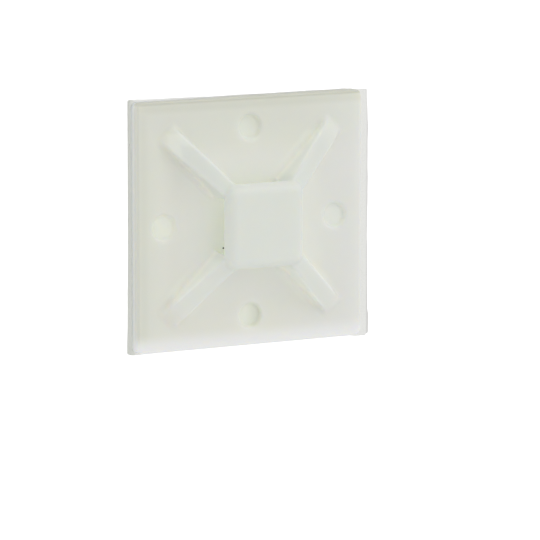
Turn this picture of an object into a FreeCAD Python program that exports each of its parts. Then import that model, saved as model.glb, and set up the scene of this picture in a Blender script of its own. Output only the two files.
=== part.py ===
# Four-way adhesive mount for cable ties: a moulded plate with a raised table, a foam pad and its liner.
# Frame: +Z away from the wall, Z = 0 on the liner's outer face, X and Y along the plate's sides, and
# the origin at the centre of the plate. Lengths in millimetres, angles in degrees.
import FreeCAD, Part
import os
import Sketcher
from math import asin, radians
from FreeCAD import Placement, Rotation, Vector

os.makedirs("parts", exist_ok=True)

doc = FreeCAD.newDocument("tie_mount")
sheet = doc.addObject("Spreadsheet::Sheet", "sizes")

# Driving dimensions: alias, value, meaning. A reach is measured from each centre line of the plate.
SIZES = [
    ("plate_side", 28.0, "side of the square plate"),
    ("plate_thick", 1.4, "thickness of the plate"),
    ("plate_corner", 0.7, "radius of the plate's corners, seen from the front"),
    ("plate_round", 0.2, "rounding of the plate's front edge"),
    ("table_side", 9.5, "side of the raised table"),
    ("table_thick", 1.5, "thickness of the table"),
    ("table_corner", 1.3, "radius of the table's corners, seen from the front"),
    ("table_round", 1.15, "rounding of the table's upper edges"),
    ("table_lip", 0.25, "rounding of the table's lower edges, where a tie enters"),
    ("slot_height", 2.7, "clear height between plate and table"),
    ("slot_width", 5.8, "clear width between two ribs at their feet"),
    ("rib_foot", 2.4, "width of a rib where it stands on the plate"),
    ("rib_draft", 5.0, "draft of a rib's sides"),
    ("rib_round", 0.3, "rounding of a rib's upper edges"),
    ("rib_root", 0.25, "depth to which a rib runs into the plate"),
    ("crest_drop", 0.95, "how far a rib's crest meets the table below its top"),
    ("crest_reach", 4.3, "reach of the crest's outer end"),
    ("shoulder_reach", 9.5, "reach of the slope's lower end"),
    ("shoulder_height", 0.85, "height of the slope's lower end"),
    ("tip_reach", 10.4, "reach of a rib's tip"),
    ("tip_height", 0.15, "height of a rib's tip"),
    ("dimple_reach", 10.6, "distance of a dimple from the plate's centre"),
    ("dimple_rim", 3.0, "diameter of a dimple at the plate's face"),
    ("dimple_floor", 2.6, "diameter of a dimple's dished floor"),
    ("dimple_wall", 0.5, "depth of a dimple's wall, down to its floor"),
    ("dimple_depth", 0.6, "depth of a dimple at its middle"),
    ("foam_thick", 0.9, "thickness of the foam tape"),
    ("over_right", 1.3, "how far the tape reaches past the plate at +X; it is flush at -X"),
    ("over_top", 0.15, "how far the tape reaches past the plate at +Y"),
    ("over_bottom", 0.35, "how far the tape reaches past the plate at -Y"),
    ("tape_corner", 0.15, "radius of the die-cut corners of tape and liner"),
    ("liner_thick", 0.1, "thickness of the release liner"),
    ("liner_tab", 0.8, "how far the liner reaches past the tape at +X, to peel it by"),
]
for row, (alias, value, meaning) in enumerate(SIZES, start=1):
    sheet.set("A%d" % row, meaning)
    sheet.set("B%d" % row, str(value))
    sheet.setAlias("B%d" % row, alias)

# Levels and widths that follow from the driving dimensions.
DERIVED = [
    ("plate_back", "=liner_thick + foam_thick"),
    ("face_level", "=plate_back + plate_thick"),
    ("table_under", "=face_level + slot_height"),
    ("table_top", "=table_under + table_thick"),
    ("crest_height", "=slot_height + table_thick - crest_drop"),
    ("post_reach", "=slot_width / 2 + rib_foot / 2 * cos(45)"),
    ("foam_length", "=plate_side + over_right"),
    ("foam_shift", "=over_right / 2"),
    ("liner_length", "=foam_length + liner_tab"),
    ("liner_shift", "=foam_shift + liner_tab / 2"),
    ("tape_width", "=plate_side + over_top + over_bottom"),
    ("tape_shift", "=(over_top - over_bottom) / 2"),
]
for row, (alias, formula) in enumerate(DERIVED, start=1):
    sheet.set("D%d" % row, formula)
    sheet.setAlias("D%d" % row, alias)
doc.recompute()


def size(alias):
    """An expression that gives a length from the sheet."""
    return "sizes.%s * 1 mm" % alias


def origin_feature(body, role):
    """The body's own origin plane or axis with this role."""
    return next(f for f in body.Origin.OriginFeatures if f.Role == role)


def new_body(label):
    """An empty body. Its label names its file."""
    body = doc.addObject("PartDesign::Body", label)
    body.Label = label
    body.Placement = Placement()
    return body


def new_sketch(body, name, role, offset, turn=0.0):
    """A sketch on an origin plane, moved by offset (axis to expression) and turned about its local Y."""
    sketch = body.newObject("Sketcher::SketchObject", name)
    sketch.AttachmentSupport = (origin_feature(body, role), [""])
    sketch.MapMode = "FlatFace"
    sketch.AttachmentOffset = Placement(Vector(0, 0, 0), Rotation(Vector(0, 1, 0), turn))
    for axis, expression in offset.items():
        sketch.setExpression("AttachmentOffset.Base." + axis, expression)
    return sketch


def bind(sketch, constraint, expression):
    """Adds a dimension to the sketch and ties it to the sheet."""
    index = sketch.addConstraint(constraint)
    sketch.setExpression("Constraints[%d]" % index, expression)


def draw_rounded_rectangle(sketch, length, width, radius, middle_x="0 mm", middle_y="0 mm"):
    """A rectangle with rounded corners. Sizes, radius and middle are expressions."""
    far = 5.0
    near = 4.0
    corners = [(near, near, 0), (-near, near, 90), (-near, -near, 180), (near, -near, 270)]
    arcs = []
    for x, y, start in corners:
        circle = Part.Circle(Vector(x, y, 0), Vector(0, 0, 1), far - near)
        arc = Part.ArcOfCircle(circle, radians(start), radians(start + 90))
        arcs.append(sketch.addGeometry(arc))
    sides = [((near, far), (-near, far)), ((-far, near), (-far, -near)),
             ((-near, -far), (near, -far)), ((far, -near), (far, near))]
    lines = []
    for start, end in sides:
        lines.append(sketch.addGeometry(Part.LineSegment(Vector(*start, 0), Vector(*end, 0))))
    top, left, bottom, right = lines
    for i, line in enumerate(lines):
        sketch.addConstraint(Sketcher.Constraint("Tangent", arcs[i], 2, line, 1))
        sketch.addConstraint(Sketcher.Constraint("Tangent", line, 2, arcs[(i + 1) % 4], 1))
    for line in (top, bottom):
        sketch.addConstraint(Sketcher.Constraint("Horizontal", line))
    for line in (left, right):
        sketch.addConstraint(Sketcher.Constraint("Vertical", line))
    for arc in arcs[1:]:
        sketch.addConstraint(Sketcher.Constraint("Equal", arcs[0], arc))
    bind(sketch, Sketcher.Constraint("Radius", arcs[0], far - near), radius)
    bind(sketch, Sketcher.Constraint("DistanceX", left, 1, right, 1, 2 * far), length)
    bind(sketch, Sketcher.Constraint("DistanceY", bottom, 1, top, 1, 2 * far), width)
    bind(sketch, Sketcher.Constraint("DistanceX", -1, 1, right, 1, far), "%s / 2 + %s" % (length, middle_x))
    bind(sketch, Sketcher.Constraint("DistanceY", -1, 1, top, 1, far), "%s / 2 + %s" % (width, middle_y))


def new_pad(body, sketch, name, length):
    """A pad of the sketch along its normal."""
    pad = body.newObject("PartDesign::Pad", name)
    pad.Profile = sketch
    pad.setExpression("Length", length)
    return pad


def edges_at_level(shape, level):
    """Names of the edges that lie in the plane Z = level."""
    tolerance = 1e-5
    names = []
    for i, edge in enumerate(shape.Edges, start=1):
        box = edge.BoundBox
        if abs(box.ZMin - level) < tolerance and abs(box.ZMax - level) < tolerance:
            names.append("Edge%d" % i)
    return names


def new_fillet(body, base, name, edges, radius):
    """A fillet on the named edges of the base feature."""
    fillet = body.newObject("PartDesign::Fillet", name)
    fillet.Base = (base, edges)
    fillet.setExpression("Radius", radius)
    doc.recompute()
    return fillet


def four_times(body, feature, name):
    """The feature, repeated about the plate's axis."""
    pattern = body.newObject("PartDesign::PolarPattern", name)
    pattern.Originals = [feature]
    pattern.Axis = (origin_feature(body, "Z_Axis"), [""])
    pattern.Angle = 360
    pattern.Occurrences = 4
    body.Tip = pattern
    doc.recompute()
    return pattern


def draw_rib_section(sketch, height):
    """A rib's section: a drafted trapezoid, symmetric about the sketch's Y axis, with rounded top corners."""
    foot = 1.2
    top = 4.0
    crown = 0.9
    rim = 0.1
    left_low, right_low = (-foot, -rim), (foot, -rim)
    right_high, left_high = (crown, top - rim), (-crown, top - rim)
    lines = []
    for start, end in ((left_low, right_low), (right_low, right_high),
                       ((crown - rim, top), (rim - crown, top)), (left_high, left_low)):
        lines.append(sketch.addGeometry(Part.LineSegment(Vector(*start, 0), Vector(*end, 0))))
    base, right, crest, left = lines
    arcs = []
    for x, start in ((crown - rim, 0), (rim - crown, 90)):
        circle = Part.Circle(Vector(x, top - rim, 0), Vector(0, 0, 1), rim)
        arc = Part.ArcOfCircle(circle, radians(start), radians(start + 90))
        arcs.append(sketch.addGeometry(arc))
    sketch.addConstraint(Sketcher.Constraint("Coincident", base, 2, right, 1))
    sketch.addConstraint(Sketcher.Constraint("Coincident", left, 2, base, 1))
    sketch.addConstraint(Sketcher.Constraint("Tangent", right, 2, arcs[0], 1))
    sketch.addConstraint(Sketcher.Constraint("Tangent", arcs[0], 2, crest, 1))
    sketch.addConstraint(Sketcher.Constraint("Tangent", crest, 2, arcs[1], 1))
    sketch.addConstraint(Sketcher.Constraint("Tangent", arcs[1], 2, left, 1))
    sketch.addConstraint(Sketcher.Constraint("Symmetric", base, 1, base, 2, -2))
    sketch.addConstraint(Sketcher.Constraint("Symmetric", crest, 1, crest, 2, -2))
    sketch.addConstraint(Sketcher.Constraint("Equal", arcs[0], arcs[1]))
    root_width = "%s + 2 * %s * tan(sizes.rib_draft)" % (size("rib_foot"), size("rib_root"))
    bind(sketch, Sketcher.Constraint("DistanceX", base, 1, base, 2, 2 * foot), root_width)
    bind(sketch, Sketcher.Constraint("DistanceY", -1, 1, base, 1, -rim), "0 mm - " + size("rib_root"))
    bind(sketch, Sketcher.Constraint("DistanceY", -1, 1, crest, 1, top), height)
    draft_left = "90 deg - sizes.rib_draft * 1 deg"
    bind(sketch, Sketcher.Constraint("Angle", base, 1, left, 2, radians(85)), draft_left)
    radius = "min(%s; %s / 3)" % (size("rib_round"), height)
    bind(sketch, Sketcher.Constraint("Radius", arcs[0], rim), radius)


def draw_dimple_profile(sketch):
    """Half of a dimple's section: a sloping wall and a dished floor, from the sketch's Y axis outwards."""
    rim, floor, wall, depth = 1.6, 1.3, 0.3, 0.45
    radius = (floor ** 2 + (depth - wall) ** 2) / (2 * (depth - wall))
    face = sketch.addGeometry(Part.LineSegment(Vector(0, 0, 0), Vector(rim, 0, 0)))
    side = sketch.addGeometry(Part.LineSegment(Vector(rim, 0, 0), Vector(floor, -wall, 0)))
    circle = Part.Circle(Vector(0, radius - depth, 0), Vector(0, 0, 1), radius)
    dish = sketch.addGeometry(Part.ArcOfCircle(circle, radians(-90), asin(floor / radius) - radians(90)))
    axis = sketch.addGeometry(Part.LineSegment(Vector(0, -depth, 0), Vector(0, 0, 0)))
    sketch.addConstraint(Sketcher.Constraint("Coincident", face, 1, -1, 1))
    sketch.addConstraint(Sketcher.Constraint("Horizontal", face))
    sketch.addConstraint(Sketcher.Constraint("Coincident", face, 2, side, 1))
    sketch.addConstraint(Sketcher.Constraint("Coincident", side, 2, dish, 2))
    sketch.addConstraint(Sketcher.Constraint("Coincident", dish, 1, axis, 1))
    sketch.addConstraint(Sketcher.Constraint("Coincident", axis, 2, face, 1))
    sketch.addConstraint(Sketcher.Constraint("Vertical", axis))
    sketch.addConstraint(Sketcher.Constraint("PointOnObject", dish, 3, -2))
    bind(sketch, Sketcher.Constraint("DistanceX", -1, 1, face, 2, rim), size("dimple_rim") + " / 2")
    bind(sketch, Sketcher.Constraint("DistanceX", -1, 1, side, 2, floor), size("dimple_floor") + " / 2")
    bind(sketch, Sketcher.Constraint("DistanceY", side, 2, -1, 1, wall), size("dimple_wall"))
    bind(sketch, Sketcher.Constraint("DistanceY", axis, 1, -1, 1, depth), size("dimple_depth"))


def make_mount_body():
    """Plate, raised table, four sloping ribs and four dimples, moulded as one piece."""
    body = new_body("mount_body")
    body.AllowCompound = True

    plate_outline = new_sketch(body, "plate_outline", "XY_Plane", {"z": size("plate_back")})
    draw_rounded_rectangle(plate_outline, size("plate_side"), size("plate_side"), size("plate_corner"))
    plate = new_pad(body, plate_outline, "plate", size("plate_thick"))
    doc.recompute()
    front = edges_at_level(plate.Shape, sheet.face_level)
    new_fillet(body, plate, "plate_edge", front, size("plate_round"))

    table_outline = new_sketch(body, "table_outline", "XY_Plane", {"z": size("table_under")})
    draw_rounded_rectangle(table_outline, size("table_side"), size("table_side"), size("table_corner"))
    table = new_pad(body, table_outline, "table", size("table_thick"))
    doc.recompute()
    upper = edges_at_level(table.Shape, sheet.table_top)
    table_crown = new_fillet(body, table, "table_crown", upper, size("table_round"))
    lower = edges_at_level(table_crown.Shape, sheet.table_under)
    new_fillet(body, table_crown, "table_lips", lower, size("table_lip"))

    stations = [
        ("rib_post", "post_reach", "crest_height"),
        ("rib_crest", "crest_reach", "crest_height"),
        ("rib_shoulder", "shoulder_reach", "shoulder_height"),
        ("rib_tip", "tip_reach", "tip_height"),
    ]
    sections = []
    for name, reach, height in stations:
        offset = {"x": size(reach), "y": size("face_level"), "z": size(reach)}
        section = new_sketch(body, name, "YZ_Plane", offset, turn=45.0)
        draw_rib_section(section, size(height))
        sections.append(section)
    rib = body.newObject("PartDesign::AdditiveLoft", "rib")
    rib.Profile = sections[0]
    rib.Sections = [(section, [""]) for section in sections[1:]]
    rib.Ruled = True
    doc.recompute()
    four_times(body, rib, "ribs")

    dimple_profile = new_sketch(body, "dimple_profile", "XZ_Plane",
                                {"x": size("dimple_reach"), "y": size("face_level")})
    draw_dimple_profile(dimple_profile)
    dimple = body.newObject("PartDesign::Groove", "dimple")
    dimple.Profile = dimple_profile
    dimple.ReferenceAxis = (dimple_profile, ["V_Axis"])
    dimple.Angle = 360
    doc.recompute()
    four_times(body, dimple, "dimples")
    return body


def make_tape_layer(label, level, thickness, length, shift):
    """One die-cut layer of the tape on the plate's back."""
    body = new_body(label)
    outline = new_sketch(body, label + "_outline", "XY_Plane", {"z": level})
    draw_rounded_rectangle(outline, size(length), size("tape_width"), size("tape_corner"),
                           size(shift), size("tape_shift"))
    new_pad(body, outline, label + "_layer", thickness)
    doc.recompute()
    return body


mount_body = make_mount_body()
foam_pad = make_tape_layer("foam_pad", size("liner_thick"), size("foam_thick"), "foam_length", "foam_shift")
release_liner = make_tape_layer("release_liner", "0 mm", size("liner_thick"), "liner_length", "liner_shift")
doc.recompute()

for item in doc.Objects:
    if "Invalid" in item.State or "Error" in item.State:
        raise RuntimeError("%s failed: %s" % (item.Label, item.State))

for body in (mount_body, foam_pad, release_liner):
    shape = body.Shape
    if shape.isNull() or not shape.isValid() or len(shape.Solids) != 1:
        raise RuntimeError("%s isn't one valid solid" % body.Label)
    shape.exportStep("parts/%s.step" % body.Label)
    print(body.Label, "volume", round(shape.Volume, 2), "mm3, faces", len(shape.Faces))
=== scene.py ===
"""Dresses the four-way adhesive tie mount: moulding, foam tape and release liner, on a pale stage."""

from math import cos, radians, sin

import bmesh
import bpy
from bpy.props import FloatProperty, FloatVectorProperty, IntProperty, PointerProperty
from bpy.types import Operator, Panel, PropertyGroup
from mathutils import Matrix, Vector


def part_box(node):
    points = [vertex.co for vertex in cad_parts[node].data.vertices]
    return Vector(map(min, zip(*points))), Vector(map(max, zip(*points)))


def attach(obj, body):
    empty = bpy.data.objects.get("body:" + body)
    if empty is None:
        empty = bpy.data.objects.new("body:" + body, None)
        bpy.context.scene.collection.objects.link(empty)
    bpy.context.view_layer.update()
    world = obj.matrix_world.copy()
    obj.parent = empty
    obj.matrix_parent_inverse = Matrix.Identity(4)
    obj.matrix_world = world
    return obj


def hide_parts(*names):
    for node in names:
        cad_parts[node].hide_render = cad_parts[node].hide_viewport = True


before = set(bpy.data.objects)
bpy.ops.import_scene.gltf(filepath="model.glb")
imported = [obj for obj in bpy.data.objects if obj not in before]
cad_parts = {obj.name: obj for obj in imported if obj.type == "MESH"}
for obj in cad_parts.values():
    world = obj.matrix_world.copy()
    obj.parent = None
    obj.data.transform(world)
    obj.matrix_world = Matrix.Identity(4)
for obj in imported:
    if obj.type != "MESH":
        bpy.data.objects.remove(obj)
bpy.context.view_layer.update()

bl_info = {
    "name": "Tie mount dresser",
    "version": (1, 0, 0),
    "blender": (4, 5, 0),
    "location": "3D View > Sidebar > Tie mount",
    "description": "Builds the finish of a four-way adhesive cable tie mount around its frame",
    "category": "Object",
}

MM = 0.001

PAD_LOW, PAD_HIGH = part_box("foam_pad")
LINER_LOW, LINER_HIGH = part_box("release_liner")
BODY_LOW, BODY_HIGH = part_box("mount_body")
HALF_SIDE = (BODY_HIGH.x - BODY_LOW.x) / 2
PLATE_THICK = 1.4 * MM
FACE_LEVEL = BODY_LOW.z + PLATE_THICK

# Shapes of the moulding: its square back, its ribs' feet and its dimples, whose middles lie DIMPLE_REACH
# from the plate's middle
MERGE_REACH = 0.001 * MM
SHARP_ANGLE = 50
SMOOTH_SHARE = 0.5
BACK_BAND = 0.5 * MM
BAND_CLEARANCE = 0.01 * MM
FOOT_REACH = 0.45 * MM
FOOT_DEPTH = 0.02 * MM
FOOT_RINGS = 3
RIM_CLEARANCE = 2 * MM
FLAT_NORMAL = 0.97
DIMPLE_REACH = 10.6 * MM
DIMPLE_RADIUS = 1.5 * MM
DIMPLE_LIP = 0.35 * MM

# Shapes of the tape. A run gives places along a side and how far the hand-laid edge lies outside its
# straight line there, both in mm.
CUT_CORNER = 0.15 * MM
LAYER_GAP = Vector((0, 0, 0.01 * MM))
ARC_STEPS = 4
RUN_REACH = 3.0 * MM
SWAY_SLOW = 0.9
SWAY_QUICK = 2.3
QUICK_SHARE = 0.6
SIDE_NORMAL = 0.5
CELL_BOWL = (0.15, 0.55)
TOP_RUN = ((-14.0, -0.06), (-4.0, -0.20), (13.0, -0.24), (14.0, -0.42), (16.2, -0.42))
BOTTOM_RUN = ((-14.0, -0.10), (-12.6, -0.10), (-11.8, -0.20), (13.0, -0.20), (14.0, 0.0), (16.2, 0.0))
LEFT_RUN = ((-14.4, 0.12), (-6.0, 0.0), (4.0, -0.08), (8.9, -0.08), (9.2, -0.22), (9.5, -0.08),
            (14.3, -0.14))
RIGHT_RUN = ((-14.4, 0.10), (-12.0, 0.08), (-11.6, -0.02), (-6.0, -0.06), (-3.0, -0.12), (0.0, -0.05),
             (9.5, -0.05), (12.0, -0.12), (14.3, -0.18))

# Tones of the nylon. A pair gives where a tone starts and where it is full. Spans are measured from the
# plate's middle, rises and depths from its face, heights from its back and reaches inwards from its edge.
# The ribs' inner and outer sides and the tip's width say how far x and y differ in size, and the dimples'
# edge is measured from their radius. A share is how much of a tone is used, or is left.
# Most tones below are painted light: painted shade near the plate's top and left edges, on its sides, in the
# dimples and on the table's upper edges, and painted glow round the table, in the dimples, on the ribs and at
# the plate's lower and left edges.
SPECK = Vector((-3.4 * MM, -2.78 * MM, FACE_LEVEL))
SPECK_RADIUS = 0.13 * MM
COOL_SPAN = (4 * MM, 13 * MM)
CORE_SPAN = (10.0 * MM, 5.5 * MM)
CORE_RISE = (1.2 * MM, 0.2 * MM)
CORE_SHARE = 0.62
BEYOND_SPAN = (4 * MM, 6 * MM)
BEYOND_SHARE = 0.6
TOP_DUSK_REACH = 8.0 * MM
LEFT_DUSK_REACH = 3.6 * MM
RIGHT_DUSK_SHARE = 0.45
NEAR_REACH = 1.6 * MM
NEAR_TOP_SHARE = 0.26
NEAR_LEFT_SHARE = 0.15
THICK_RISE = (0.1 * MM, 1.6 * MM)
FAR_SPAN = (1 * MM, 8 * MM)
BROW_SPAN = (3.3 * MM, 4.3 * MM)
BROW_UPWARDS = (-4 * MM, -1 * MM)
BROW_SHARE = 0.5
LOW_RIB_DOWNWARDS = (-4.5 * MM, -6.5 * MM)
LOW_RIB_LEFTWARDS = (1 * MM, -2 * MM)
LOW_RIB_SHARE = 0.5
WALL_DEPTH = 0.1 * MM
WALL_REACH = 0.2 * MM
GLOWING_WALL_REACH = 0.3 * MM
ROUND_DEPTH = 0.8 * MM
ROUND_REACH = 0.4 * MM
ROUND_SHARE = 0.40
GLOW_REACH = 2.4 * MM
RIM_REACH = 0.5 * MM
LIP_HEIGHT = 0.6 * MM
LIP_SPAN = (-1.0 * MM, -10.0 * MM)
DIMPLE_EDGE = (0.1 * MM, -0.3 * MM)
DIMPLE_SHADE_SPAN = (-0.9 * MM, 1.3 * MM)
UPPER_DIMPLE_SHADE = 0.12
LOWER_DIMPLE_SHADE = 0.45
RIGHT_DIMPLE_LIGHT = 0.7
RIB_SIDE_INNER = (1.2 * MM, 1.4 * MM)
RIB_SIDE_OUTER = (3.4 * MM, 1.8 * MM)
RIB_SIDE_START = (4.8 * MM, 5.6 * MM)
RIB_SIDE_END = (10.6 * MM, 9.4 * MM)
RIB_SIDE_SHARE = 0.85
TIP_WIDTH = (1.6 * MM, 1.0 * MM)
TIP_START = (8.8 * MM, 9.4 * MM)
TIP_END = (10.6 * MM, 10.2 * MM)
TIP_SHARE = 0.65
BLACK = (0.0, 0.0, 0.0)
SPECK_COLOUR = (0.01, 0.01, 0.01)

# Tones of the tape: painted shade on the foam's left edge and along the liner's cut edge, painted glow on the
# rim that shows past the plate
LEFT_SHADE_SPAN = (0.15 * MM, 0.5 * MM)
BARE_REACH = 0.2 * MM
CUT_EDGE_SHADE = 0.25 * MM

# Stage and camera. The camera comes from a fit to the plate's edges, the dimples and the table, which was
# held near an earlier camera. One photograph fixes its distance and its lens poorly.
FLOOR_REACH = 3.0
FLOOR_DROP = 0.02 * MM
KEY_PLACE = Vector((0.26, 0.26, 0.25))
KEY_SIZE = 0.25
LIGHT_BOUNCES = 32
CAMERA_PLACE = Vector((-210.62, 71.46, 416.87)) * MM
CAMERA_RIGHT = Vector((0.88942, 0.00047, 0.45709))
CAMERA_UP = Vector((0.07423, 0.98658, -0.14546))
CAMERA_LENS = 281.9
CAMERA_CLIP = (0.01, 20.0)
SENSOR = 36.0


# Properties

class MouldingSettings(PropertyGroup):
    """What a user would change on the moulding."""
    grid: FloatProperty(
        name="Grid", description="Spacing of the grid that the soft skin is drawn on",
        default=0.12 * MM, subtype="DISTANCE", unit="LENGTH")
    smoothing: IntProperty(
        name="Smoothing", description="Rounds of smoothing of the moulding's edges and corners", default=3)
    triangles: IntProperty(
        name="Triangles", description="Triangles that the moulding keeps", default=170000)
    plate_colour: FloatVectorProperty(
        name="Plate colour", description="Colour of the thin plate over the tape",
        default=(0.93, 0.945, 0.84), subtype="COLOR")
    thick_colour: FloatVectorProperty(
        name="Thick colour", description="Colour of the thick ribs and table towards the bottom",
        default=(0.860, 0.890, 0.848), subtype="COLOR")
    # Painted shade: the ribs and the table are darker towards the top and on the table's upper edges
    painted_far_shade_colour: FloatVectorProperty(
        name="Far colour", description="Colour of the thick ribs and table towards the top",
        default=(0.828, 0.858, 0.818), subtype="COLOR")
    cool_colour: FloatVectorProperty(
        name="Cool colour", description="Colour of the plate towards its right side",
        default=(0.925, 0.95, 0.88), subtype="COLOR")
    # Painted shade towards the plate's top and left edges
    painted_dusk_colour: FloatVectorProperty(
        name="Dusk colour", description="Colour of the plate towards its top and left edges",
        default=(0.85, 0.865, 0.785), subtype="COLOR")
    # Painted shade: the line along the plate's top edge, the parts near its top and left edges, its left
    # round and the dimples' shaded sides
    painted_rim_shade_colour: FloatVectorProperty(
        name="Rim colour", description="Dullest colour, as in the thin line along the plate's top edge",
        default=(0.66, 0.67, 0.59), subtype="COLOR")
    # Painted glow at the plate's lower edge and low on its top edge towards the left
    painted_glow_colour: FloatVectorProperty(
        name="Glow colour", description="Colour of the plate's edges that the floor shines through",
        default=(0.99, 0.99, 0.98), subtype="COLOR")
    # Painted light round the table, lifting the shade there
    painted_core_light_colour: FloatVectorProperty(
        name="Core colour", description="Colour of the plate round the table",
        default=(0.985, 0.995, 0.90), subtype="COLOR")
    # Painted glow that stands in for light coming through the nylon
    painted_shine_through: FloatVectorProperty(
        name="Shine-through", description="Light that comes through the nylon from the white tape behind it",
        default=(0.060, 0.063, 0.055), subtype="COLOR")
    foot_rounds: IntProperty(
        name="Foot rounds", description="Rounds of smoothing that fill the corners at the ribs' feet",
        default=20)
    # Painted glow on the plate's left side
    painted_wall_glow: FloatVectorProperty(
        name="Wall glow", description="Light that comes out of the plate's left side",
        default=(0.045, 0.046, 0.041), subtype="COLOR")
    # Painted shade on the plate's sides
    painted_side_shade_colour: FloatVectorProperty(
        name="Side colour", description="Colour of the plate's sides, where light has the longest way",
        default=(0.905, 0.92, 0.86), subtype="COLOR")
    scatter: FloatProperty(
        name="Scatter", description="How far light spreads inside the nylon",
        default=1.2 * MM, subtype="DISTANCE", unit="LENGTH")
    roughness: FloatProperty(
        name="Roughness", description="Roughness of the moulded skin", default=0.42, min=0, max=1)


class TapeSettings(PropertyGroup):
    """What a user would change on the foam tape and its liner."""
    foam_colour: FloatVectorProperty(
        name="Foam colour", description="Colour of the foam", default=(0.98, 0.98, 0.96), subtype="COLOR")
    liner_colour: FloatVectorProperty(
        name="Liner colour", description="Colour of the liner", default=(0.95, 0.95, 0.93), subtype="COLOR")
    # Painted shade on the foam's left edge
    painted_left_shade_colour: FloatVectorProperty(
        name="Worn colour", description="Colour of the foam's handled left edge",
        default=(0.86, 0.88, 0.82), subtype="COLOR")
    # Painted glow on the tape's rim that shows past the plate
    painted_shine_through: FloatVectorProperty(
        name="Shine-through", description="Light that comes through the white foam from the floor",
        default=(0.022, 0.024, 0.020), subtype="COLOR")
    cell: FloatProperty(
        name="Cell", description="Size of a foam cell", default=0.16 * MM, subtype="DISTANCE", unit="LENGTH")
    cell_depth: FloatProperty(
        name="Cell depth", description="Depth of a cut cell in the foam's edge",
        default=0.035 * MM, subtype="DISTANCE", unit="LENGTH")
    wander: FloatProperty(
        name="Wander", description="How far the die-cut edge wanders from a straight line",
        default=0.05 * MM, subtype="DISTANCE", unit="LENGTH")
    bulge: FloatProperty(
        name="Bulge", description="How far the foam's edge swells at half its height",
        default=0.03 * MM, subtype="DISTANCE", unit="LENGTH")


class StageSettings(PropertyGroup):
    """What a user would change on the stage."""
    floor_colour: FloatVectorProperty(
        name="Floor colour", description="Colour of the floor", default=(0.93, 0.93, 0.93), subtype="COLOR")
    floor_glow: FloatProperty(
        name="Floor glow", description="How much the floor is lifted to white where the camera sees it",
        default=0.6)
    sky: FloatProperty(name="Sky", description="Strength of the even light all round", default=0.72)
    key: FloatProperty(
        name="Key", description="Strength of the soft light from the upper right", default=0.24, unit="POWER")


class TieMountSettings(PropertyGroup):
    """All settings of the tie mount."""
    moulding: PointerProperty(type=MouldingSettings)
    tape: PointerProperty(type=TapeSettings)
    stage: PointerProperty(type=StageSettings)


def settings():
    """The tie mount's settings in this scene."""
    return bpy.context.scene.tie_mount


# Nodes

def set_inputs(node, values):
    """Sets a node's inputs by name or index."""
    for key, value in values.items():
        node.inputs[key].default_value = value


class Nodes:
    """Adds nodes to one tree and links them."""

    def __init__(self, tree):
        self.tree = tree

    def add(self, kind, links=None, values=None, **options):
        """A node with its options, values and incoming links."""
        node = self.tree.nodes.new(kind)
        for name, option in options.items():
            setattr(node, name, option)
        set_inputs(node, values or {})
        for key, source in (links or {}).items():
            self.tree.links.new(source, node.inputs[key])
        return node

    def math(self, operation, first, second=None):
        """The output of a Math node. Each term is a socket or a number."""
        node = self.tree.nodes.new("ShaderNodeMath")
        node.operation = operation
        for index, term in enumerate((first, second)):
            if isinstance(term, (int, float)):
                node.inputs[index].default_value = term
            elif term is not None:
                self.tree.links.new(term, node.inputs[index])
        return node.outputs[0]

    def times(self, first, *others):
        """The product of masks."""
        for other in others:
            first = self.math("MULTIPLY", first, other)
        return first

    def ramp(self, value, low, high, to_low=0.0, to_high=1.0):
        """A smooth step of the value from low to high."""
        node = self.add("ShaderNodeMapRange", {"Value": value},
                        {"From Min": low, "From Max": high, "To Min": to_low, "To Max": to_high},
                        interpolation_type="SMOOTHSTEP")
        return node.outputs["Result"]

    def mix(self, factor, first, second):
        """A mix of two colours. Each is a socket or a colour."""
        node = self.tree.nodes.new("ShaderNodeMix")
        node.data_type = "RGBA"
        for socket, term in ((node.inputs[0], factor), (node.inputs[6], first), (node.inputs[7], second)):
            if isinstance(term, bpy.types.NodeSocket):
                self.tree.links.new(term, socket)
            elif isinstance(term, (int, float)):
                socket.default_value = term
            else:
                socket.default_value = (*term, 1.0)
        return node.outputs[2]


def new_group(name, inputs, outputs):
    """A shader node group with these sockets: name to (type, default). Returns its tree, input and output."""
    group = bpy.data.node_groups.new(name, "ShaderNodeTree")
    for socket, (kind, default) in inputs.items():
        group.interface.new_socket(socket, in_out="INPUT", socket_type=kind).default_value = default
    for socket, kind in outputs.items():
        group.interface.new_socket(socket, in_out="OUTPUT", socket_type=kind)
    return group, group.nodes.new("NodeGroupInput"), group.nodes.new("NodeGroupOutput")


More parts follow.
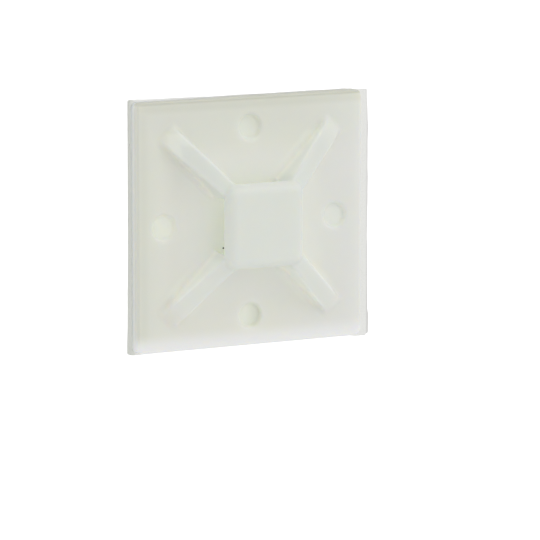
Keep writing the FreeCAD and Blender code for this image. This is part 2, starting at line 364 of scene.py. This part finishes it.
def grain_group():
    """Cloudy and fine unevenness of a surface: a mask about one half, and a bumped normal."""
    found = bpy.data.node_groups.get("Fine grain")
    if found:
        return found
    group, start, end = new_group(
        "Fine grain",
        {"Cloud size": ("NodeSocketFloat", 6 * MM), "Grain size": ("NodeSocketFloat", 0.3 * MM),
         "Depth": ("NodeSocketFloat", 0.01 * MM)},
        {"Cloud": "NodeSocketFloat", "Grain": "NodeSocketFloat", "Normal": "NodeSocketVector"})
    nodes = Nodes(group)
    place = nodes.add("ShaderNodeTexCoord").outputs["Object"]
    cloud_scale = nodes.math("DIVIDE", 1.0, start.outputs["Cloud size"])
    grain_scale = nodes.math("DIVIDE", 1.0, start.outputs["Grain size"])
    cloud = nodes.add("ShaderNodeTexNoise", {"Vector": place, "Scale": cloud_scale},
                      {"Detail": 3.0, "Roughness": 0.55})
    grain = nodes.add("ShaderNodeTexNoise", {"Vector": place, "Scale": grain_scale},
                      {"Detail": 2.0, "Roughness": 0.6})
    bump = nodes.add("ShaderNodeBump", {"Height": grain.outputs["Fac"], "Distance": start.outputs["Depth"]},
                     {"Strength": 1.0})
    group.links.new(cloud.outputs["Fac"], end.inputs["Cloud"])
    group.links.new(grain.outputs["Fac"], end.inputs["Grain"])
    group.links.new(bump.outputs["Normal"], end.inputs["Normal"])
    return group


def new_material(name):
    """A material, its node helper and its Principled shader."""
    material = bpy.data.materials.new(name)
    material.use_nodes = True
    tree = material.node_tree
    return material, Nodes(tree), tree.nodes["Principled BSDF"]


def add_grain(nodes, cloud_size, grain_size, depth):
    """The grain group in a material, with that material's sizes."""
    return nodes.add("ShaderNodeGroup", node_tree=grain_group(),
                     values={"Cloud size": cloud_size, "Grain size": grain_size, "Depth": depth})


def darker(colour, share):
    """A colour times a share."""
    return tuple(share * part for part in colour)


def plate_colours(nodes, look, axes, painted_light_core):
    """The plate's colour: lighter round the table with painted light, cooler to the right, duller to the top
    and the left with painted shade, most of all close to those edges.
    """
    cool = nodes.ramp(axes["X"], *COOL_SPAN)
    colour = nodes.mix(cool, look.plate_colour, look.cool_colour)
    # Painted light round the table
    colour = nodes.mix(painted_light_core, colour, look.painted_core_light_colour)
    rightwards = nodes.ramp(axes["X"], COOL_SPAN[0], HALF_SIDE, 1.0, RIGHT_DUSK_SHARE)
    top = nodes.times(nodes.ramp(axes["Y"], HALF_SIDE - TOP_DUSK_REACH, HALF_SIDE), rightwards)
    left = nodes.ramp(axes["X"], -HALF_SIDE + LEFT_DUSK_REACH, -HALF_SIDE)
    # Painted shade towards the top and left edges
    colour = nodes.mix(nodes.math("MAXIMUM", top, left), colour, look.painted_dusk_colour)
    near_top = nodes.ramp(axes["Y"], HALF_SIDE - NEAR_REACH, HALF_SIDE - NEAR_REACH / 2, 0.0, NEAR_TOP_SHARE)
    near_left = nodes.ramp(axes["X"], -HALF_SIDE + NEAR_REACH, -HALF_SIDE + NEAR_REACH / 2,
                           0.0, NEAR_LEFT_SHARE)
    # Deeper painted shade close to the top and left edges
    return nodes.mix(nodes.math("MAXIMUM", near_top, near_left), colour, look.painted_rim_shade_colour)


def thick_colours(nodes, look, axes, out):
    """The colour of the ribs and the table: duller towards the top and on the table's upper edges with
    painted shade, and cooler and lighter on the lower left rib with painted light.
    """
    # Painted shade towards the top
    tone = nodes.mix(nodes.ramp(axes["Y"], *FAR_SPAN), look.thick_colour, look.painted_far_shade_colour)
    # Painted shade on the table's upper edges
    brow = nodes.times(nodes.ramp(out, *BROW_SPAN, 0.0, BROW_SHARE), nodes.ramp(axes["Y"], *BROW_UPWARDS))
    tone = nodes.mix(brow, tone, look.painted_far_shade_colour)
    # Painted light on the lower left rib
    low_left = nodes.times(nodes.ramp(axes["Y"], *LOW_RIB_DOWNWARDS, 0.0, LOW_RIB_SHARE),
                           nodes.ramp(axes["X"], *LOW_RIB_LEFTWARDS))
    return nodes.mix(low_left, tone, look.cool_colour)


def edge_colours(nodes, look, axes, masks, colour):
    """The colour with painted shade on the plate's sides, on its left round and in its top line, and painted
    glow on its lower edge and low on its top edge towards the left.
    """
    # Painted shade on the plate's sides
    colour = nodes.mix(masks["side"], colour, look.painted_side_shade_colour)
    # Painted shade on the plate's left round, hiding its highlight
    left_round = nodes.times(masks["upper"], nodes.ramp(
        axes["X"], -HALF_SIDE + ROUND_REACH, -HALF_SIDE + ROUND_REACH / 2))
    colour = nodes.mix(nodes.times(left_round, ROUND_SHARE), colour, look.painted_rim_shade_colour)
    # Painted glow at the plate's lower edge
    colour = nodes.mix(masks["low_edge"], colour, look.painted_glow_colour)
    # Painted shade in the line along the top edge
    rim = nodes.ramp(axes["Y"], HALF_SIDE - RIM_REACH, HALF_SIDE - RIM_REACH / 2)
    colour = nodes.mix(rim, colour, look.painted_rim_shade_colour)
    # Painted glow low on the top edge towards the left
    lip = nodes.times(nodes.ramp(axes["Z"], BODY_LOW.z + LIP_HEIGHT, BODY_LOW.z + LIP_HEIGHT / 2),
                      nodes.ramp(axes["X"], *LIP_SPAN))
    return nodes.mix(nodes.times(rim, lip), colour, look.painted_glow_colour)


def dimple_masks(nodes, axes, out):
    """Two masks: the inside of the dimples, and the right sides of the upper and lower one, which get painted
    shade.
    """
    wide, tall = nodes.math("ABSOLUTE", axes["X"]), nodes.math("ABSOLUTE", axes["Y"])
    past = nodes.math("SUBTRACT", out, DIMPLE_REACH)
    aside = nodes.math("MINIMUM", wide, tall)
    from_middle = nodes.math("SQRT", nodes.math("ADD", nodes.times(past, past), nodes.times(aside, aside)))
    inside = nodes.ramp(from_middle, *(DIMPLE_RADIUS + step for step in DIMPLE_EDGE))
    upright = nodes.math("GREATER_THAN", tall, wide)
    rightwards = nodes.ramp(axes["X"], *DIMPLE_SHADE_SPAN)
    lower = nodes.ramp(axes["Y"], DIMPLE_REACH, -DIMPLE_REACH, UPPER_DIMPLE_SHADE, LOWER_DIMPLE_SHADE)
    return inside, nodes.times(upright, lower, rightwards, inside)


def rib_sides(nodes, axes, out):
    """A mask on the sides and feet of every rib but the upper left one, where painted glow lifts the shade.
    """
    wide, tall = nodes.math("ABSOLUTE", axes["X"]), nodes.math("ABSOLUTE", axes["Y"])
    off = nodes.math("ABSOLUTE", nodes.math("SUBTRACT", wide, tall))
    beside = nodes.times(nodes.ramp(off, *RIB_SIDE_INNER), nodes.ramp(off, *RIB_SIDE_OUTER))
    along = nodes.times(nodes.ramp(out, *RIB_SIDE_START), nodes.ramp(out, *RIB_SIDE_END))
    upper_left = nodes.times(nodes.math("LESS_THAN", axes["X"], 0.0),
                             nodes.math("GREATER_THAN", axes["Y"], 0.0))
    return nodes.times(beside, along, nodes.ramp(upper_left, 0.0, 1.0, RIB_SIDE_SHARE, 0.0))


def lit_tip(nodes, axes, out):
    """A mask on the end of the upper left rib, which painted glow makes brighter than the rest of it."""
    off = nodes.math("ABSOLUTE", nodes.math("ADD", axes["X"], axes["Y"]))
    on_rib = nodes.times(nodes.math("LESS_THAN", axes["X"], 0.0), nodes.ramp(off, *TIP_WIDTH))
    at_end = nodes.times(nodes.ramp(out, *TIP_START), nodes.ramp(out, *TIP_END))
    return nodes.times(on_rib, at_end, TIP_SHARE)


def painted_light_through(nodes, look, axes, out, masks):
    """Painted glow that stands in for light coming through the nylon: round the table, in the dimples, on the
    ribs, at the thin edges and on the plate's left side.
    """
    on_plate = nodes.ramp(axes["Z"], *(FACE_LEVEL + rise for rise in CORE_RISE), 0.0, CORE_SHARE)
    beyond = nodes.ramp(nodes.math("ABSOLUTE", axes["Y"]), *BEYOND_SPAN, 1.0, BEYOND_SHARE)
    in_dimples = nodes.ramp(axes["X"], -DIMPLE_REACH, DIMPLE_REACH, 1.0, RIGHT_DIMPLE_LIGHT)
    lit = nodes.times(masks["painted_light_core"], on_plate, beyond)
    for mask in (masks["low_edge"], nodes.times(masks["dimple"], in_dimples),
                 rib_sides(nodes, axes, out), lit_tip(nodes, axes, out)):
        lit = nodes.math("MAXIMUM", lit, mask)
    # The mask becomes painted glow, and the plate's left side gets painted glow of its own
    through = nodes.mix(lit, BLACK, look.painted_shine_through)
    at_left = nodes.math("LESS_THAN", axes["X"], -HALF_SIDE + GLOWING_WALL_REACH)
    left_wall = nodes.times(masks["side"], at_left, nodes.math("SUBTRACT", 1.0, masks["upper"]))
    return nodes.mix(left_wall, through, look.painted_wall_glow)


def nylon_material(look):
    """Natural nylon: greenish where thin over the tape, cooler where thick, with painted glow at its edges,
    ribs, dimples and round the table, and painted shade near its top and left edges and in its dimples.
    """
    material, nodes, shader = new_material("natural_nylon")
    grain = add_grain(nodes, 7 * MM, 0.35 * MM, 0.004 * MM)
    place = nodes.add("ShaderNodeTexCoord").outputs["Object"]
    axes = nodes.add("ShaderNodeSeparateXYZ", {"Vector": place}).outputs
    out = nodes.math("MAXIMUM", nodes.math("ABSOLUTE", axes["X"]), nodes.math("ABSOLUTE", axes["Y"]))
    dimple, shaded = dimple_masks(nodes, axes, out)
    masks = {
        "painted_light_core": nodes.ramp(out, *CORE_SPAN),
        "dimple": dimple,
        "side": nodes.times(nodes.math("LESS_THAN", axes["Z"], FACE_LEVEL - WALL_DEPTH),
                            nodes.math("GREATER_THAN", out, HALF_SIDE - WALL_REACH)),
        "upper": nodes.ramp(axes["Z"], FACE_LEVEL - ROUND_DEPTH, FACE_LEVEL - ROUND_DEPTH / 2),
        "low_edge": nodes.ramp(axes["Y"], -HALF_SIDE + GLOW_REACH, -HALF_SIDE),
    }
    # Painted shade on the right sides of the upper and lower dimples
    colour = nodes.mix(shaded, plate_colours(nodes, look, axes, masks["painted_light_core"]), look.painted_rim_shade_colour)
    thick = nodes.ramp(axes["Z"], *(FACE_LEVEL + rise for rise in THICK_RISE))
    colour = nodes.mix(thick, colour, thick_colours(nodes, look, axes, out))
    colour = edge_colours(nodes, look, axes, masks, colour)
    # Painted glow
    through = painted_light_through(nodes, look, axes, out, masks)
    shade = nodes.ramp(grain.outputs["Cloud"], 0.25, 0.75, 0.0, 0.10)
    colour = nodes.mix(shade, colour, darker(look.plate_colour, 0.86))
    away = nodes.add("ShaderNodeVectorMath", {0: place}, {1: SPECK}, operation="DISTANCE").outputs["Value"]
    speck = nodes.ramp(away, SPECK_RADIUS, SPECK_RADIUS * 0.6)
    nodes.tree.links.new(nodes.mix(speck, colour, SPECK_COLOUR), shader.inputs["Base Color"])
    nodes.tree.links.new(nodes.mix(speck, through, BLACK), shader.inputs["Emission Color"])
    nodes.tree.links.new(grain.outputs["Normal"], shader.inputs["Normal"])
    rough = nodes.ramp(grain.outputs["Grain"], 0.2, 0.8, look.roughness - 0.05, look.roughness + 0.05)
    nodes.tree.links.new(rough, shader.inputs["Roughness"])
    set_inputs(shader, {"Subsurface Weight": 0.85, "Subsurface Radius": (1.0, 0.9, 0.7),
                        "Subsurface Scale": look.scatter, "IOR": 1.53, "Emission Strength": 1.0})
    return material


def tape_masks(nodes):
    """Two masks on the tape: 1 on all but its left edge, which gets painted shade, and 1 on the rim that
    shows past the plate, which gets painted glow.
    """
    place = nodes.add("ShaderNodeTexCoord").outputs["Object"]
    axes = nodes.add("ShaderNodeSeparateXYZ", {"Vector": place}).outputs
    outside_left_shade = nodes.ramp(axes["X"], *(PAD_LOW.x + reach for reach in LEFT_SHADE_SPAN))
    past = nodes.math("MAXIMUM", axes["X"], nodes.math("ABSOLUTE", axes["Y"]))
    bare = nodes.times(outside_left_shade, nodes.ramp(past, HALF_SIDE - BARE_REACH, HALF_SIDE))
    return outside_left_shade, bare


def foam_material(look):
    """White closed-cell foam, with cut cells along its edges, painted shade on its left edge and painted glow
    on its rim past the plate.
    """
    material, nodes, shader = new_material("white_foam")
    grain = add_grain(nodes, 3 * MM, look.cell, 0.02 * MM)
    shade = nodes.ramp(grain.outputs["Grain"], 0.3, 0.7, 0.0, 0.25)
    colour = nodes.mix(shade, look.foam_colour, darker(look.foam_colour, 0.8))
    outside_left_shade, bare = tape_masks(nodes)
    # Painted shade on the foam's left edge
    colour = nodes.mix(outside_left_shade, look.painted_left_shade_colour, colour)
    # Painted glow on the foam's rim past the plate
    through = nodes.mix(bare, BLACK, look.painted_shine_through)
    nodes.tree.links.new(colour, shader.inputs["Base Color"])
    nodes.tree.links.new(through, shader.inputs["Emission Color"])
    nodes.tree.links.new(grain.outputs["Normal"], shader.inputs["Normal"])
    set_inputs(shader, {"Roughness": 0.7, "Emission Strength": 1.0})
    return material


def liner_material(look):
    """Siliconed paper: faint fibres under a satin face, with painted shade along its right cut edge and
    painted glow on its rim past the plate.
    """
    material, nodes, shader = new_material("siliconed_paper")
    grain = add_grain(nodes, 4 * MM, 0.12 * MM, 0.006 * MM)
    shade = nodes.ramp(grain.outputs["Cloud"], 0.3, 0.7, 0.0, 0.3)
    colour = nodes.mix(shade, look.liner_colour, darker(look.liner_colour, 0.9))
    bare = tape_masks(nodes)[1]
    across = nodes.add("ShaderNodeSeparateXYZ", {
        "Vector": nodes.add("ShaderNodeTexCoord").outputs["Object"]}).outputs["X"]
    # Painted shade along the liner's right cut edge
    cut = nodes.ramp(across, LINER_HIGH.x - CUT_EDGE_SHADE, LINER_HIGH.x - CUT_EDGE_SHADE / 2)
    colour = nodes.mix(cut, colour, darker(look.liner_colour, 0.86))
    # Painted glow on the liner's rim past the plate, but not on its cut edge
    lit = nodes.times(bare, nodes.math("SUBTRACT", 1.0, cut))
    through = nodes.mix(lit, BLACK, darker(look.painted_shine_through, 0.6))
    nodes.tree.links.new(colour, shader.inputs["Base Color"])
    nodes.tree.links.new(through, shader.inputs["Emission Color"])
    nodes.tree.links.new(grain.outputs["Normal"], shader.inputs["Normal"])
    set_inputs(shader, {"Roughness": 0.45, "Emission Strength": 1.0})
    return material


# Meshes

def merged_copy(node, name):
    """A copy of a frame node with its doubles merged."""
    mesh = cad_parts[node].data.copy()
    mesh.name = name
    mesh.materials.clear()
    work = bmesh.new()
    work.from_mesh(mesh)
    bmesh.ops.remove_doubles(work, verts=work.verts, dist=MERGE_REACH)
    work.to_mesh(mesh)
    work.free()
    piece = bpy.data.objects.new(name, mesh)
    bpy.context.scene.collection.objects.link(piece)
    return piece


def settle(piece):
    """Turns a piece with live modifiers into a plain mesh."""
    graph = bpy.context.evaluated_depsgraph_get()
    mesh = bpy.data.meshes.new_from_object(piece.evaluated_get(graph), depsgraph=graph)
    mesh.name = piece.name
    piece.modifiers.clear()
    piece.data = mesh
    for face in mesh.polygons:
        face.use_smooth = True
    mesh.set_sharp_from_angle(angle=radians(SHARP_ANGLE))


def finish_piece(piece, node, material):
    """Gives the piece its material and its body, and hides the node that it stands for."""
    piece.data.materials.clear()
    piece.data.materials.append(material)
    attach(piece, "root")
    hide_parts(node)


def run_at(run, along):
    """The height of a run of straight pieces, both in mm, at a length along it."""
    for (start, low), (stop, high) in zip(run, run[1:]):
        if along <= stop:
            share = max(0.0, (along - start) / (stop - start))
            return low + (high - low) * share
    return run[-1][1]


def nearness(value, side):
    """1 on a side of the tape, down to 0 at a run's reach from it."""
    return max(0.0, 1 - abs(value - side) / RUN_REACH)


def cut_shift(place, outward, low, high, wander, phase, share):
    """How far a point of the hand-laid tape's edge lies off its straight line, at a share of its height."""
    along = (place.x - place.y) / MM
    waves = sin(along * SWAY_SLOW + phase) + QUICK_SHARE * sin(along * SWAY_QUICK + 2 * phase)
    sway = waves * wander / (1 + QUICK_SHARE)
    left = nearness(place.x, low.x)
    flush = 1 - share * left
    sideways = nearness(place.x, high.x) * run_at(RIGHT_RUN, place.y / MM)
    sideways -= left * flush * run_at(LEFT_RUN, place.y / MM)
    upwards = nearness(place.y, high.y) * run_at(TOP_RUN, place.x / MM)
    upwards -= nearness(place.y, low.y) * run_at(BOTTOM_RUN, place.x / MM)
    return outward * sway * flush + Vector((sideways, upwards, 0)) * MM


def cut_outline(low, high, corner, step):
    """Points with small steps round a rounded rectangle, each with its outward direction."""
    corners = [(high.x - corner, high.y - corner, 0), (low.x + corner, high.y - corner, 90),
               (low.x + corner, low.y + corner, 180), (high.x - corner, low.y + corner, 270)]
    points = []
    for index, (x, y, start) in enumerate(corners):
        for i in range(ARC_STEPS + 1):
            turn = radians(start + 90 * i / ARC_STEPS)
            outward = Vector((cos(turn), sin(turn), 0))
            points.append((Vector((x, y, 0)) + corner * outward, outward))
        x_next, y_next = corners[(index + 1) % 4][:2]
        following = Vector((x_next, y_next, 0)) + corner * outward
        last = points[-1][0]
        count = int((following - last).length / step)
        points.extend((last.lerp(following, i / count), outward) for i in range(1, count))
    return points


def layer_mesh(name, low, high, step, rings, wander, bulge, phase):
    """A die-cut layer between two levels: its edge wanders, and bulges at half its height."""
    points = cut_outline(low, high, CUT_CORNER, step)
    work = bmesh.new()
    loops = []
    for ring in range(rings + 1):
        share = ring / rings
        level = Vector((0, 0, low.z + (high.z - low.z) * share))
        swell = bulge * (1 - (2 * share - 1) ** 2)
        shifts = [cut_shift(place, outward, low, high, wander, phase, share) for place, outward in points]
        loops.append([work.verts.new(place + outward * swell + shift + level)
                      for (place, outward), shift in zip(points, shifts)])
    count = len(points)
    for lower, upper in zip(loops, loops[1:]):
        for i in range(count):
            j = (i + 1) % count
            work.faces.new((lower[i], lower[j], upper[j], upper[i]))
    for loop, turn in ((loops[-1], 1), (loops[0], -1)):
        middle = work.verts.new(((low.x + high.x) / 2, (low.y + high.y) / 2, loop[0].co.z))
        for i in range(count):
            work.faces.new((loop[i], loop[(i + 1) % count], middle)[::turn])
    mesh = bpy.data.meshes.new(name)
    work.to_mesh(mesh)
    work.free()
    piece = bpy.data.objects.new(name, mesh)
    bpy.context.scene.collection.objects.link(piece)
    return piece


def square_back(piece):
    """Cuts the plate's lowest band away and makes it again, with straight sides and a flat back."""
    level = BODY_LOW.z + BACK_BAND
    work = bmesh.new()
    work.from_mesh(piece.data)
    everything = [*work.verts, *work.edges, *work.faces]
    bmesh.ops.bisect_plane(work, geom=everything, plane_co=(0, 0, level), plane_no=(0, 0, 1),
                           clear_inner=True)
    rim = [edge for edge in work.edges if edge.is_boundary]
    wall = bmesh.ops.extrude_edge_only(work, edges=rim)["geom"]
    for item in wall:
        if isinstance(item, bmesh.types.BMVert):
            item.co.z = BODY_LOW.z
    low_rim = [edge for edge in work.edges if edge.is_boundary]
    bmesh.ops.edgeloop_fill(work, edges=low_rim)
    bmesh.ops.recalc_face_normals(work, faces=work.faces)
    bmesh.ops.triangulate(work, faces=[face for face in work.faces if len(face.verts) > 4])
    work.to_mesh(piece.data)
    work.free()
    above = [vertex.index for vertex in piece.data.vertices if vertex.co.z > level + BAND_CLEARANCE]
    piece.vertex_groups.new(name="front").add(above, 1.0, "REPLACE")


def near_dimple(place):
    """Whether a point lies at a dimple's rim."""
    wide, tall = abs(place.x), abs(place.y)
    away = Vector((max(wide, tall) - DIMPLE_REACH, min(wide, tall))).length
    return abs(away - DIMPLE_RADIUS) < DIMPLE_LIP


def soften_feet(piece, rounds):
    """Rounds the dimples' rims and fills the sharp corners where the ribs meet the plate's face."""
    work = bmesh.new()
    work.from_mesh(piece.data)
    low, high = FACE_LEVEL - FOOT_DEPTH, FACE_LEVEL + FOOT_REACH
    ribs_end = HALF_SIDE - RIM_CLEARANCE
    soft = {v for v in work.verts if low < v.co.z < high and v.normal.z < FLAT_NORMAL
            and max(abs(v.co.x), abs(v.co.y)) < ribs_end}
    soft |= {v for v in work.verts if FACE_LEVEL - DIMPLE_LIP < v.co.z < high and near_dimple(v.co)}
    for ring in range(FOOT_RINGS):
        soft |= {edge.other_vert(v) for v in soft for edge in v.link_edges}
    soft = [v for v in work.verts if v in soft and v.co.z > FACE_LEVEL - DIMPLE_LIP]
    for turn in range(rounds):
        bmesh.ops.smooth_vert(work, verts=soft, factor=SMOOTH_SHARE,
                              use_axis_x=True, use_axis_y=True, use_axis_z=True)
    work.to_mesh(piece.data)
    work.free()


# Geometry nodes

def cut_cells_tree():
    """Sinks round cells into the side faces of a layer of foam."""
    tree = bpy.data.node_groups.new("Cut cells", "GeometryNodeTree")
    tree.interface.new_socket("Geometry", in_out="INPUT", socket_type="NodeSocketGeometry")
    for name, kind, default in (("Cell size", "NodeSocketFloat", 0.16 * MM),
                                ("Cell depth", "NodeSocketFloat", 0.03 * MM),
                                ("Finish", "NodeSocketMaterial", None)):
        made = tree.interface.new_socket(name, in_out="INPUT", socket_type=kind)
        if default is not None:
            made.default_value = default
    tree.interface.new_socket("Geometry", in_out="OUTPUT", socket_type="NodeSocketGeometry")
    nodes = Nodes(tree)
    start = nodes.add("NodeGroupInput").outputs
    normal = nodes.add("GeometryNodeInputNormal").outputs["Normal"]
    upright = nodes.add("ShaderNodeSeparateXYZ", {0: normal}).outputs["Z"]
    side = nodes.math("LESS_THAN", nodes.math("ABSOLUTE", upright), SIDE_NORMAL)
    place = nodes.add("GeometryNodeInputPosition").outputs[0]
    scale = nodes.math("DIVIDE", 1.0, start["Cell size"])
    cells = nodes.add("ShaderNodeTexVoronoi", {"Vector": place, "Scale": scale}, feature="F1")
    bowl = nodes.ramp(cells.outputs["Distance"], *CELL_BOWL, 1.0, 0.0)
    sink = nodes.times(bowl, start["Cell depth"], -1.0)
    offset = nodes.add("ShaderNodeVectorMath", {0: normal, "Scale": sink}, operation="SCALE")
    moved = nodes.add("GeometryNodeSetPosition", {
        "Geometry": start["Geometry"], "Selection": side, "Offset": offset.outputs["Vector"]})
    real = nodes.add("GeometryNodeRealizeInstances", {"Geometry": moved.outputs["Geometry"]})
    finish = nodes.add("GeometryNodeSetMaterial", {"Geometry": real.outputs[0], "Material": start["Finish"]})
    nodes.add("NodeGroupOutput", {"Geometry": finish.outputs["Geometry"]})
    return tree


def add_tree(piece, tree, values):
    """A Geometry Nodes modifier with its inputs set by the sockets' identifiers."""
    modifier = piece.modifiers.new(tree.name, "NODES")
    modifier.node_group = tree
    for item in tree.interface.items_tree:
        if item.name in values:
            modifier[item.identifier] = values[item.name]


# Operators

class MakeMoulding(Operator):
    """Gives the moulding its soft skin and its nylon"""
    bl_idname = "tie_mount.make_moulding"
    bl_label = "Make moulding"

    def execute(self, context):
        look = settings().moulding
        piece = merged_copy("mount_body", "moulding")
        remesh = piece.modifiers.new("grid", "REMESH")
        remesh.mode = "VOXEL"
        remesh.voxel_size = look.grid
        settle(piece)
        square_back(piece)
        soften = piece.modifiers.new("soften", "SMOOTH")
        soften.factor = SMOOTH_SHARE
        soften.iterations = look.smoothing
        soften.vertex_group = "front"
        settle(piece)
        soften_feet(piece, look.foot_rounds)
        thin = piece.modifiers.new("thin", "DECIMATE")
        thin.ratio = min(1.0, look.triangles / (2 * len(piece.data.polygons)))
        settle(piece)
        finish_piece(piece, "mount_body", nylon_material(look))
        return {"FINISHED"}


class MakeFoamPad(Operator):
    """Makes the foam tape with its wandering cut edge and open cells"""
    bl_idname = "tie_mount.make_foam_pad"
    bl_label = "Make foam pad"

    def execute(self, context):
        look = settings().tape
        piece = layer_mesh("foam_pad_cut", PAD_LOW, PAD_HIGH - LAYER_GAP, step=0.06 * MM, rings=14,
                           wander=look.wander, bulge=look.bulge, phase=0.7)
        material = foam_material(look)
        add_tree(piece, cut_cells_tree(),
                 {"Cell size": look.cell, "Cell depth": look.cell_depth, "Finish": material})
        settle(piece)
        finish_piece(piece, "foam_pad", material)
        return {"FINISHED"}


class MakeReleaseLiner(Operator):
    """Makes the paper liner under the foam"""
    bl_idname = "tie_mount.make_release_liner"
    bl_label = "Make release liner"

    def execute(self, context):
        look = settings().tape
        piece = layer_mesh("liner_sheet", LINER_LOW, LINER_HIGH - LAYER_GAP, step=0.25 * MM, rings=2,
                           wander=look.wander / 2, bulge=0.0, phase=2.1)
        finish_piece(piece, "release_liner", liner_material(look))
        return {"FINISHED"}


class SetStage(Operator):
    """Sets the floor, the soft light and the camera"""
    bl_idname = "tie_mount.set_stage"
    bl_label = "Set stage"

    def execute(self, context):
        look = settings().stage
        self.add_floor(look)
        self.add_light(look)
        self.add_camera()
        scene = bpy.context.scene
        scene.view_settings.view_transform = "Standard"
        scene.cycles.max_bounces = LIGHT_BOUNCES
        scene.cycles.diffuse_bounces = LIGHT_BOUNCES
        return {"FINISHED"}

    def add_floor(self, look):
        """A wide pale floor just under the liner."""
        mesh = bpy.data.meshes.new("floor")
        corners = [(FLOOR_REACH * x, FLOOR_REACH * y, 0) for x, y in ((-1, -1), (1, -1), (1, 1), (-1, 1))]
        mesh.from_pydata(corners, [], [(0, 1, 2, 3)])
        floor = bpy.data.objects.new("floor", mesh)
        floor.location.z = -FLOOR_DROP
        bpy.context.scene.collection.objects.link(floor)
        material, nodes, shader = new_material("floor")
        set_inputs(shader, {"Base Color": (*look.floor_colour, 1), "Roughness": 0.9,
                            "Specular IOR Level": 0.0, "Emission Color": (1, 1, 1, 1)})
        seen = nodes.add("ShaderNodeLightPath").outputs["Is Camera Ray"]
        glow = nodes.math("MULTIPLY", seen, look.floor_glow)
        material.node_tree.links.new(glow, shader.inputs["Emission Strength"])
        mesh.materials.append(material)

    def add_light(self, look):
        """Even light all round, and a broad soft light from the upper right."""
        world = bpy.data.worlds.new("studio")
        world.use_nodes = True
        set_inputs(world.node_tree.nodes["Background"], {"Color": (1, 1, 1, 1), "Strength": look.sky})
        bpy.context.scene.world = world
        lamp = bpy.data.lights.new("key", "AREA")
        lamp.shape = "DISK"
        lamp.size = KEY_SIZE
        lamp.energy = look.key
        key = bpy.data.objects.new("key", lamp)
        key.location = KEY_PLACE
        key.rotation_euler = (-KEY_PLACE).to_track_quat("-Z", "Y").to_euler()
        bpy.context.scene.collection.objects.link(key)

    def add_camera(self):
        """The camera that was fitted to the photograph."""
        lens = bpy.data.cameras.new("camera")
        lens.sensor_width = SENSOR
        lens.lens = CAMERA_LENS
        lens.clip_start, lens.clip_end = CAMERA_CLIP
        camera = bpy.data.objects.new("camera", lens)
        back = CAMERA_RIGHT.cross(CAMERA_UP)
        turn = Matrix((CAMERA_RIGHT, CAMERA_UP, back)).transposed()
        camera.matrix_world = Matrix.Translation(CAMERA_PLACE) @ turn.to_4x4()
        bpy.context.scene.collection.objects.link(camera)
        bpy.context.scene.camera = camera


class TieMountPanel(Panel):
    """Lists the steps that build the tie mount"""
    bl_idname = "VIEW3D_PT_tie_mount"
    bl_label = "Tie mount"
    bl_space_type = "VIEW_3D"
    bl_region_type = "UI"
    bl_category = "Tie mount"

    def draw(self, context):
        for step in STEPS:
            self.layout.operator(step.bl_idname)


STEPS = (MakeMoulding, MakeFoamPad, MakeReleaseLiner, SetStage)
CLASSES = (MouldingSettings, TapeSettings, StageSettings, TieMountSettings, *STEPS, TieMountPanel)


def register():
    """Registers the classes and the scene's settings."""
    for item in CLASSES:
        bpy.utils.register_class(item)
    bpy.types.Scene.tie_mount = PointerProperty(type=TieMountSettings)


def unregister():
    """Takes the classes and the settings away again."""
    del bpy.types.Scene.tie_mount
    for item in reversed(CLASSES):
        bpy.utils.unregister_class(item)


def main():
    """Builds the tie mount on its stage."""
    register()
    bpy.ops.tie_mount.make_moulding()
    bpy.ops.tie_mount.make_foam_pad()
    bpy.ops.tie_mount.make_release_liner()
    bpy.ops.tie_mount.set_stage()


if __name__ == "__main__":
    main()
